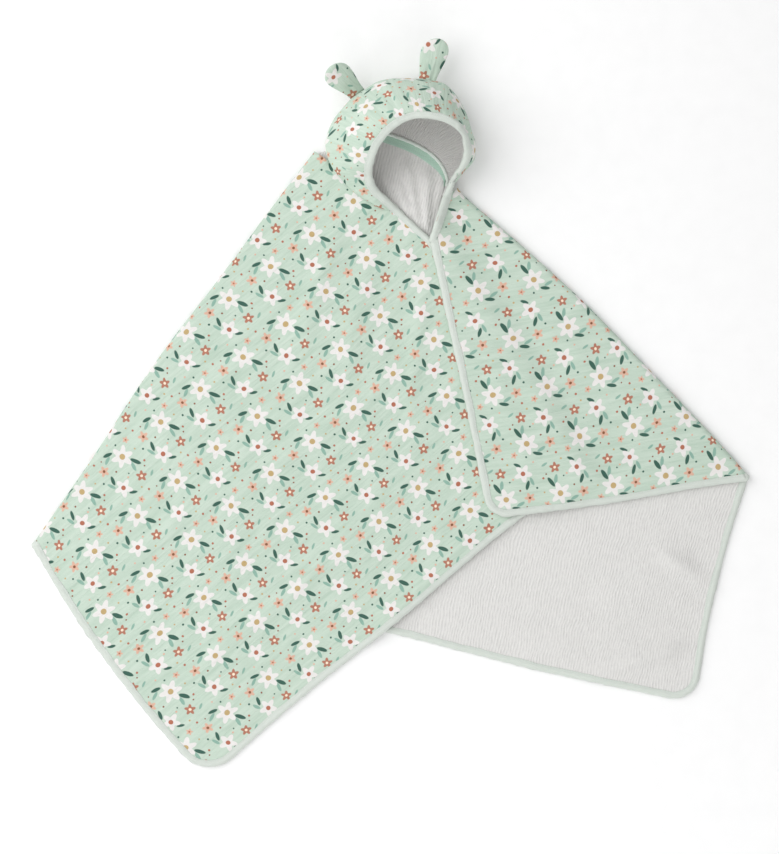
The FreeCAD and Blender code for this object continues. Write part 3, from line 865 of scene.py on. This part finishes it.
def make_folded_layer(side, outline, edge, turn, seed, dense=None):
    """One folded end of the towel and its binding."""
    corner, place = {
        "left": (LEFT_CORNER, place_left), "right": (RIGHT_CORNER, place_right)}[side]
    names = (f"{side}_layer_outer", f"{side}_layer_lining")
    outer, lining = towel_layer(names, outline, place, corner, turn, dense)
    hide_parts(f"outer_{side}_shoulder", f"outer_{side}_flap")
    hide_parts(f"lining_{side}_shoulder", f"lining_{side}_flap")
    trim = bind_edge(f"{side}_layer_binding", strips_along(edge, place), seed)
    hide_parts(f"binding_{side}_flap")
    for piece, slot in zip((outer, lining, *trim), LAYER_SLOTS):
        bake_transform(piece)


def attach_hood(piece):
    """Bakes the piece's place into its mesh, where it stays."""
    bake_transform(piece)


def make_left_layer():
    strip = FOLDS["left"][1] * ROLL_STRIP
    outline = rounded_path(
        (LEFT_SHOULDER + strip, LEFT_FOLD + strip, LEFT_FOLD, LEFT_CORNER, HIDDEN_CORNER, FRONT,
         LEFT_NECK, LEFT_SHOULDER), (0, 0, 0, LEFT_RADIUS, HIDDEN_RADIUS, 0, 0, 0))
    edge = rounded_path(
        (LEFT_FOLD + strip, LEFT_FOLD, LEFT_CORNER, HIDDEN_CORNER, FRONT),
        (0, FOLD_RADIUS, LEFT_RADIUS, HIDDEN_RADIUS, 0), closed=False, step=BINDING_STEP)
    make_folded_layer("left", outline, edge, LEFT_TURN, 51)


def near_collar(xy):
    along, across = along_and_across(xy, RIGHT_NECK, FRONT)
    return (np.abs(across) < COLLAR_NET_REACH) & (along > -0.3) & (along < 1.3)


def make_right_layer():
    strip = FOLDS["right"][1] * ROLL_STRIP
    outline = rounded_path(
        (FRONT, RIGHT_CORNER, RIGHT_FOLD, RIGHT_FOLD + strip, RIGHT_SHOULDER + strip,
         RIGHT_SHOULDER, RIGHT_NECK), (0, RIGHT_RADIUS, 0, 0, 0, 0, 0))
    edge = rounded_path(
        (FRONT, RIGHT_CORNER, RIGHT_FOLD, RIGHT_FOLD + strip),
        (0, RIGHT_RADIUS, FOLD_RADIUS, 0), closed=False, step=BINDING_STEP)
    make_folded_layer(
        "right", outline, edge, RIGHT_TURN, 61, near_collar)


# ---------------------------------------------------------------- hood, in its own frame

# Stations go round the face opening, from the left front over the crown to the right front.
RIM = np.array((
    (25, -37, 8), (13, -32, 17), (-6, -25, 28), (-20, -12, 45), (-24, 5, 61), (-23, 24, 75),
    (-17, 42, 86), (-7, 58, 94), (7, 70, 99), (24, 76, 101), (43, 79, 98), (61, 76, 89),
    (76, 66, 75), (81, 51, 59), (80, 31, 44), (75, 12, 32), (74, 2, 21),
), float)
WIDEST = np.array((
    (23, -44, 7), (8, -43, 14), (-24, -40, 18), (-61, -21, 20), (-88, 8, 22), (-90, 34, 25),
    (-81, 62, 30), (-63, 91, 33), (-37, 113, 34), (-7, 125, 35), (23, 128, 34), (54, 111, 32),
    (80, 83, 30), (94, 58, 28), (86, 31, 25), (80, 12, 21), (78, 1, 16),
), float)
SEAM = np.array((
    (24, -41, 6), (11, -39, 8), (-22, -35, 9), (-59, -17, 9), (-83, 4, 7), (-77, 20, 1),
    (-64, 34, 0.6), (-48, 43, 0.6), (-32, 47, 0.6), (-13, 48, 0.6), (7, 48, 0.6),
    (28, 45.5, 0.6), (46, 40, 1.0), (60, 31, 2.0), (70, 19, 5), (73, 9, 12), (73, -3, 14),
), float)
FIRST_BACK_STATION = 4
LAST_BACK_STATION = 15
RIM_REACH = 9.0
NECK_REACH = 7.0
NECK_OVERLAP = 7.0
RIM_SAMPLES = 230
RIM_ROLL = 5.0
PIPING_RADIUS = 2.1
PIPING_SIDES = 12
PIPING_PITCH = 1.1
TAPE_WIDTH = 11.5
TAPE_COLUMNS = 7
HOOD_PRINT_SHIFT = (31, 63)
HOOD_ROWS = 46
HOOD_COLUMNS = 150


def hood_net():
    """The outer face of the hood, rim first, as a net of rows by columns."""
    shoulder = RIM + (WIDEST - RIM) * (0.52, 0.52, 0.16)
    near_rim = RIM + (WIDEST - RIM) * (0.16, 0.16, 0.0)
    width = np.linalg.norm((WIDEST - RIM)[:, :2], axis=1)
    near_rim[:, 2] += RIM_ROLL * ease(RIM[:, 2], 40, 95) * ease(width, 12, 40)
    spread = np.linalg.norm((WIDEST - SEAM)[:, :2], axis=1, keepdims=True)
    under = ease(spread, 8, 40)
    base = WIDEST + (SEAM - WIDEST) * (0.25, 0.25, 1.0)
    base[:, 2:] = SEAM[:, 2:] + (1 - under) * 2.0
    controls = np.stack((RIM, near_rim, shoulder, WIDEST, base, SEAM))
    around = spline(controls.transpose(1, 0, 2), HOOD_COLUMNS).transpose(1, 0, 2)
    return spline(around, HOOD_ROWS)


def net_normals(net):
    """Unit normals of a net, pointing to the left of its columns."""
    down = np.gradient(net, axis=0)
    round_it = np.gradient(net, axis=1)
    return unit(np.cross(round_it, down))


def hood_surface():
    """The hood's outer face with soft waves and small gathers at the rim, and its normals."""
    net = hood_net()
    normals = net_normals(net)
    rows, columns = net.shape[:2]
    s, t = np.meshgrid(np.linspace(0, path_lengths(RIM)[-1], columns), np.linspace(0, 1, rows))
    visible = ease(t, 0.02, 0.2) * ease(-t, -0.72, -0.55)
    soft = 1.6 * ripple(s, t * 150, 60, 71) + 0.6 * ripple(s, t * 60, 22, 72)
    pull = 0.7 * ripple(s, t * 12, 13, 73) * ease(-t, -0.3, -0.02)
    moved = net + normals * (soft * visible + pull * ease(t, 0.0, 0.06))[..., None]
    return moved, net_normals(moved)


def above_floor(points, gap):
    """The same points, with none nearer to the floor than a gap."""
    points[:, 2] = np.maximum(points[:, 2], FLOOR_GAP + gap)
    return points


def hood_flat(net):
    """The print's place on the hood: up runs towards the face opening."""
    steps_down = np.linalg.norm(np.diff(net, axis=0), axis=2)
    up = -np.vstack((np.zeros(net.shape[1]), np.cumsum(steps_down, axis=0)))
    right = path_lengths(net[len(net) // 3])
    return np.column_stack((np.tile(right, len(net)), up.ravel()))


def make_hood():
    """The hood's two cloths. Returns the net of its outer face, and its normals."""
    local, normals = hood_surface()

    def at_depth(depth):
        return above_floor(from_hood(local - normals * depth).reshape(-1, 3), depth / 4)

    faces = [face[::-1] for face in grid_faces(*local.shape[:2])]
    outer, lining = two_cloths(
        ("hood_outer_cloth", "hood_inner_lining"), at_depth, faces,
        hood_flat(local) + HOOD_PRINT_SHIFT)
    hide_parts("hood_outer", "hood_side_outer")
    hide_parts("hood_lining", "hood_side_lining")
    attach_hood(outer)
    attach_hood(lining)
    return local, normals


def neck_edge(start, end, place, samples):
    """Strips of cloth along a neck edge of one layer, which has the cloth on its left."""
    return strips_along(start + (end - start) * np.linspace(0, 1, samples)[:, None], place)


def strips_down(net):
    """Strips of cloth that follow the rows of a net, one per column."""
    lines = net.transpose(1, 0, 2)
    return np.array([at_lengths(STRIP_STEPS, path_lengths(line), line) for line in lines])


def even_strips(strips, samples):
    """Strips at even distances, each softened a little by its neighbours."""
    lengths = path_lengths(strips[:, 0])
    even = at_lengths(np.linspace(0, lengths[-1], samples), lengths, strips)
    even[1:-1] = (even[:-2] + 2 * even[1:-1] + even[2:]) / 4
    return even


def make_rim_binding(local, normals):
    """One binding up the left neck edge, round the face opening and down the right neck edge."""
    first, last = (
        np.argmin(np.linalg.norm(local[0] - RIM[station], axis=1))
        for station in (1, LAST_BACK_STATION))
    rim = from_hood(strips_down((local - normals * SHEET / 2)[:, first:last - 2]))
    past_front = unit(LEFT_NECK - FRONT) * NECK_OVERLAP
    left_edge = neck_edge(FRONT - past_front, LEFT_NECK, place_left, 18)
    past_front = unit(RIGHT_NECK - FRONT) * NECK_OVERLAP / 2
    right_edge = neck_edge(RIGHT_NECK, FRONT - past_front, place_right, 20)
    strips = np.concatenate((left_edge[:-2], rim, right_edge[2:]))
    strips = even_strips(strips, RIM_SAMPLES)
    share = np.linspace(0, 1, RIM_SAMPLES)
    around = ease(share, 0.08, 0.2) * ease(-share, -0.85, -0.72)
    reach = NECK_REACH + (RIM_REACH - NECK_REACH) * around
    tape, stitches = bind_edge(
        "hood_rim_binding", strips, seed=81, reach=reach, half=SHEET / 2 + 0.4)
    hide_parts("hood_brim_binding", "binding_left_neck", "binding_right_neck")
    for piece in (tape, stitches):
        attach_hood(piece)


def seam_points(samples):
    """The neck seam on the back's lining, from the left end to the right one."""
    return spline(SEAM[FIRST_BACK_STATION:LAST_BACK_STATION + 1], samples)


def back_outline():
    seam = from_hood(seam_points(50))[::-1, :2]
    lower = rounded_path((LEFT_SHOULDER, LEFT_FOLD, BACK_CORNER, RIGHT_FOLD, RIGHT_SHOULDER),
                         (0, 0, BACK_RADIUS, 0, 0), closed=False)
    return np.vstack((lower, seam))


def make_back():
    outline = back_outline()
    outer, lining = towel_layer(
        ("back_outer", "back_lining"), outline, place_back, BACK_CORNER, BACK_TURN)
    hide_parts("outer_back")
    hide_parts("lining_back")
    attach_hood(outer)
    attach_hood(lining)
    edge = rounded_path(
        (LEFT_FOLD, BACK_CORNER, RIGHT_FOLD), (0, BACK_RADIUS, 0), closed=False, step=BINDING_STEP)
    trim = bind_edge("back_binding", strips_along(edge, place_back), seed=91, under=0.1)
    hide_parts("binding_back")
    for piece in trim:
        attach(piece, "root")


def make_piping(seam, lengths, aside):
    """The piped edge of the neck seam itself."""
    around = np.linspace(0, 2 * math.pi, PIPING_SIDES, endpoint=False)[::-1]
    heights = np.maximum(back_bottom(seam[:, :2]), seam[:, 2]) + SHEET + 1.0
    line = np.column_stack((seam[:, :2], heights))
    radii = PIPING_RADIUS * (1 + 0.12 * ripple_along(lengths, 9, 96))[:, None]
    sides = np.column_stack((aside, np.zeros(len(aside))))
    ups = np.cross(sides, unit(np.gradient(line, axis=0)))
    across = (radii * np.cos(around))[..., None] * sides[:, None]
    raised = (radii * np.sin(around))[..., None] * ups[:, None]
    points = (line[:, None] + across + raised).reshape(-1, 3)
    cloth = tape_place(lengths, np.arange(PIPING_SIDES) * PIPING_PITCH)
    return make_piece("neck_piping", points, tube_faces(len(line), PIPING_SIDES), PIPING, cloth)


def make_neck_tape():
    """Tape beside the neck seam, narrower at its right end, and the seam's piping."""
    seam = from_hood(seam_points(110))[4:-1]
    run = unit(np.gradient(seam[:, :2], axis=0))
    aside = np.column_stack((run[:, 1], -run[:, 0]))
    lengths = path_lengths(seam)
    piping = make_piping(seam, lengths, aside)
    width = TAPE_WIDTH * (0.35 + 0.65 * ease(-lengths / lengths[-1], -1.0, -0.72))
    across = width[:, None] * np.linspace(0, 1, TAPE_COLUMNS)
    flat = (seam[:, None, :2] + aside[:, None] * across[..., None]).reshape(-1, 2)
    surface = back_bottom(flat) + SHEET
    upper = np.column_stack((flat, surface + 1.3))
    lower = np.column_stack((flat, surface + 0.1))
    points, closed = shell(lower, upper, grid_faces(len(seam), TAPE_COLUMNS))
    cloth = np.column_stack((np.repeat(lengths, TAPE_COLUMNS), across.ravel()))
    tape = make_piece("neck_tape_strip", points, closed, NECK_TAPE, np.vstack((cloth, cloth)))
    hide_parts("neck_seam_tape")
    for piece in (piping, tape):
        attach_hood(piece)


# ---------------------------------------------------------------- ears and label

EAR_LENGTH = 51.0
EAR_WIDTH = 34.0
EAR_BASE = 21.0
EAR_ROOTS = {"left": 6.0, "right": 3.5}
EAR_TILTS = {"left": 32.0, "right": 4.0}
EAR_LEANS = {"left": -4.0, "right": 4.0}
EAR_CURLS = {"left": 0.0022, "right": 0.0011}
EAR_DENT_SEEDS = {"left": 101, "right": 103}
EAR_PRINT_SHIFTS = {"left": (-8, 14), "right": (58, -22)}
EAR_ROWS = 34
EAR_COLUMNS = 26
LABEL_ROWS = 12
LABEL_COLUMNS = 9


def ear_half_width(y):
    """Half the ear's width at a distance from its base."""
    radius = EAR_WIDTH / 2
    centre = EAR_LENGTH - radius
    straight = EAR_BASE / 2 + (radius - EAR_BASE / 2) * ease(y, -4, centre)
    return np.where(y < centre, straight, np.sqrt(np.maximum(radius ** 2 - (y - centre) ** 2, 0)))


def ear_net(side):
    """Both faces of an ear in its own frame, as nets of x, y and height."""
    across = np.sin(np.linspace(-math.pi / 2, math.pi / 2, EAR_COLUMNS))
    u, v = np.meshgrid(across, np.sin(np.linspace(0, math.pi / 2, EAR_ROWS)))
    y = -EAR_ROOTS[side] + (EAR_LENGTH + EAR_ROOTS[side]) * v
    x = u * np.maximum(ear_half_width(y), 0.4)
    x = x + EAR_LEANS[side] * (y / EAR_LENGTH) ** 2
    y = y - 2.0 * u ** 2 * (1 - v)
    crown = np.sqrt(np.maximum(1 - u ** 2, 0)) ** 0.9
    tip = np.sqrt(np.clip(1 - v ** 6, 0, 1))
    thick = np.maximum((2.6 + 2.2 * ease(y, 2, 24)) * crown * tip, 0.3)
    gathers = 0.9 * np.sin(u * 9 + 0.4) * ease(-y, -22, -2)
    dent = 0.5 * ripple(x, y, 24, EAR_DENT_SEEDS[side])
    rise = thick + (gathers + dent) * crown * 0.7
    curl = EAR_CURLS[side] * (y ** 2)
    return [np.stack((x, y, sign * rise + curl), axis=-1) for sign in (1.0, -1.0)]


def from_ear(side, points):
    """Points of an ear's frame (x across it, y to its tip) in the row frame."""
    pivot = joint_place(f"{side}_ear_bend")
    axis = joint_axis(f"{side}_ear_bend")
    level = np.cross((0, 0, 1), axis)
    tilt = math.radians(EAR_TILTS[side])
    away = level * math.cos(tilt) + np.array((0, 0, 1)) * math.sin(tilt)
    up = np.cross(axis, away)
    return pivot + points[..., :1] * axis + points[..., 1:2] * away + points[..., 2:] * up


def make_ear(side):
    """A softly stuffed ear: two printed faces that meet in a thin edge, gathered at its base."""
    nets = ear_net(side)
    upper, lower = (from_ear(side, net).reshape(-1, 3) for net in nets)
    points, closed = shell(upper, lower, grid_faces(EAR_ROWS, EAR_COLUMNS))
    flat = nets[0][..., :2].reshape(-1, 2) + EAR_PRINT_SHIFTS[side]
    piece = make_piece(f"{side}_ear", points, closed, MUSLIN, np.vstack((flat, flat)))
    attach(piece, f"{side}_ear")
    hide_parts(f"{side}_ear_front", f"{side}_ear_back", f"{side}_ear_filling")


def make_care_label():
    """A blank satin label that lies beside the bottom binding, curling a little."""
    low, high = (np.array(corner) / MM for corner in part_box("care_label"))
    middle = (low + high) / 2
    run = unit(BACK_CORNER - LEFT_FOLD)
    inward = np.array((-run[1], run[0]))
    x, y = np.meshgrid(np.linspace(-9, 9, LABEL_COLUMNS), np.linspace(-15, 15, LABEL_ROWS))
    flat = (middle[:2] + x[..., None] * run + y[..., None] * inward).reshape(-1, 2)
    height = back_bottom(flat) + SHEET + 0.15 + 0.5 * ease(y.ravel(), 0, 15)
    points, closed = shell(
        np.column_stack((flat, height + 0.3)), np.column_stack((flat, height)),
        grid_faces(LABEL_ROWS, LABEL_COLUMNS))
    local = np.column_stack((x.ravel(), y.ravel()))
    piece = make_piece("blank_care_label", points, closed, LABEL, np.vstack((local, local)))
    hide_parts("care_label")
    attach(piece, "root")


# ---------------------------------------------------------------- the studio

VIEW_CENTRE = (-0.002, -0.030)
VIEW_HEIGHT = 1.076
CAMERA_DISTANCE = 4.5
FLOOR_REACH = 6000.0
WORLD_STRENGTH = 0.53

# Square lights that face the origin: name, place and side in metres, and power in watts.
LIGHTS = (
    ("key_light", (-1.7, 0.9, 1.9), 2.8, 54),
    ("top_light", (-0.3, -0.4, 3.4), 2.6, 8),
    ("fill_light", (0.3, -2.4, 1.5), 2.4, 26),
)


def make_floor():
    ink = Ink("floor_paper")
    grain = ink.noise(ink.node("ShaderNodeTexCoord").outputs["Object"], 40.0)
    paper = ink.finish(
        ink.mix(grain, colour("f6f6f6"), colour("fbfbfb")), grain, 0.02, roughness=0.9, sheen=0)
    corners = np.array(((-1, -1, 0), (1, -1, 0), (1, 1, 0), (-1, 1, 0)))
    make_piece("floor", corners * FLOOR_REACH, [(0, 1, 2, 3)], paper)


def make_light(name, place, size, power):
    data = bpy.data.lights.new(name, "AREA")
    data.size = size
    data.energy = power
    lamp = add_object(name, data)
    lamp.location = place
    lamp.rotation_euler = (-Vector(place)).to_track_quat("-Z", "Y").to_euler()


def make_studio():
    make_floor()
    for light in LIGHTS:
        make_light(*light)
    world = bpy.data.worlds.new("studio")
    world.use_nodes = True
    background = world.node_tree.nodes["Background"]
    background.inputs["Color"].default_value = (1, 1, 1, 1)
    background.inputs["Strength"].default_value = WORLD_STRENGTH
    bpy.context.scene.world = world
    bpy.context.scene.view_settings.view_transform = "Standard"


def make_camera():
    data = bpy.data.cameras.new("camera")
    data.lens = data.sensor_width * CAMERA_DISTANCE / VIEW_HEIGHT
    camera = add_object("camera", data)
    camera.location = (*VIEW_CENTRE, CAMERA_DISTANCE)
    bpy.context.scene.camera = camera


# ---------------------------------------------------------------- build

make_back()
make_left_layer()
make_right_layer()
make_rim_binding(*make_hood())
make_neck_tape()
for ear_side in ("left", "right"):
    make_ear(ear_side)
make_care_label()
make_studio()
make_camera()
